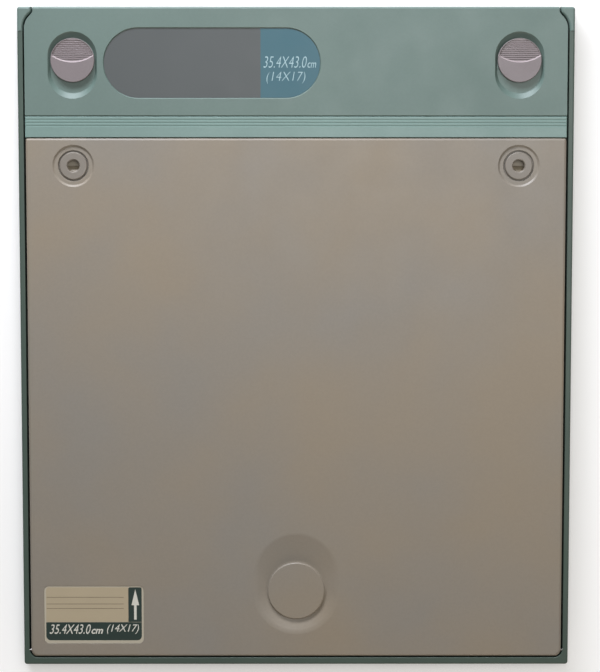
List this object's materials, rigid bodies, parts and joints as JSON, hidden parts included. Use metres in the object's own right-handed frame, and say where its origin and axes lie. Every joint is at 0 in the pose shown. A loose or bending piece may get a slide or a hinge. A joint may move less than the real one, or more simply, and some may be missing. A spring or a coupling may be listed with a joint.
{
  "type": "x-ray film cassette",
  "caption": "Flat x-ray imaging-plate cassette: moulded frame, hinged ribbed lid with sprung slide locks, thumb knobs, pin sockets and a finger grip.",
  "frame": {"origin": "centre of the front (tube-side) face, on the surface that it lies on", "axes": "+X across the width, +Y from the hinge end to the lock end, +Z from the front face to the back (lid) face"},
  "size_m": [0.384, 0.46, 0.015],
  "materials": {
    "frame_green": "moulded dark green plastic, satin",
    "cover_green": "moulded grey-green plastic, satin",
    "strip_green": "moulded light green plastic, satin",
    "plate_taupe": "moulded warm grey plastic, satin",
    "ring_taupe": "moulded warm grey plastic, satin",
    "knob_mauve": "moulded mauve-grey plastic, satin",
    "front_grey": "pale grey coated composite panel",
    "nameplate_grey": "printed plastic plate, dark grey with a teal end",
    "label_cream": "printed film label",
    "phosphor_white": "white phosphor coating under clear film on the tube side, dark grey plastic backing",
    "seal_black": "black pile light seal",
    "liner_black": "black non-woven felt",
    "pad_black": "black foam faced with felt",
    "lead_grey": "rolled lead foil, dull",
    "panel_black": "aluminium sheet painted matt black",
    "rivet_aluminium": "headed aluminium rivets",
    "bright_steel": "zinc-plated and stainless steel",
    "slide_nylon": "moulded beige nylon",
    "slider_acetal": "moulded beige acetal"
  },
  "bodies": {
    "base": {"front_frame": "frame_green", "corner_block_left": "cover_green", "corner_block_right": "cover_green", "end_sill": "frame_green", "front_panel": "front_grey", "light_seal": "seal_black", "front_liner": "liner_black", "imaging_plate": "phosphor_white", "keeper_left": "bright_steel", "keeper_right": "bright_steel", "keeper_screws": "bright_steel", "pivot_pin_left": "bright_steel", "pivot_pin_right": "bright_steel"},
    "lid": {"back_plate": "plate_taupe", "lock_cover": "cover_green", "trim_strip": "strip_green", "inner_panel": "panel_black", "panel_screws": "bright_steel", "lead_foil": "lead_grey", "pressure_pad": "pad_black", "nameplate": "nameplate_grey", "size_label": "label_cream", "guide_rivets": "rivet_aluminium", "socket_ring_left": "ring_taupe", "socket_ring_right": "ring_taupe", "lock_guide_left": "slide_nylon", "lock_guide_right": "slide_nylon", "lock_spring_left": "bright_steel", "lock_spring_right": "bright_steel"},
    "lock_left": {"lock_knob_left": "knob_mauve", "lock_slider_left": "slider_acetal", "knob_screw_left": "bright_steel"},
    "lock_right": {"lock_knob_right": "knob_mauve", "lock_slider_right": "slider_acetal", "knob_screw_right": "bright_steel"}
  },
  "joints": [
    {"name": "lid_hinge", "type": "hinge", "parent": "base", "child": "lid", "pos_m": [0, -0.2201, 0.0126], "axis": [1, 0, 0], "range_deg": [0, 100]},
    {"name": "lock_left_slide", "type": "slide", "parent": "lid", "child": "lock_left", "axis": [0, -1, 0], "range_m": [0, 0.007], "stiffness_N_per_m": 400, "springref_m": -0.015, "deforming": ["lock_spring_left"]},
    {"name": "lock_right_slide", "type": "slide", "parent": "lid", "child": "lock_right", "axis": [0, -1, 0], "range_m": [0, 0.007], "stiffness_N_per_m": 400, "springref_m": -0.015, "deforming": ["lock_spring_right"]}
  ]
}
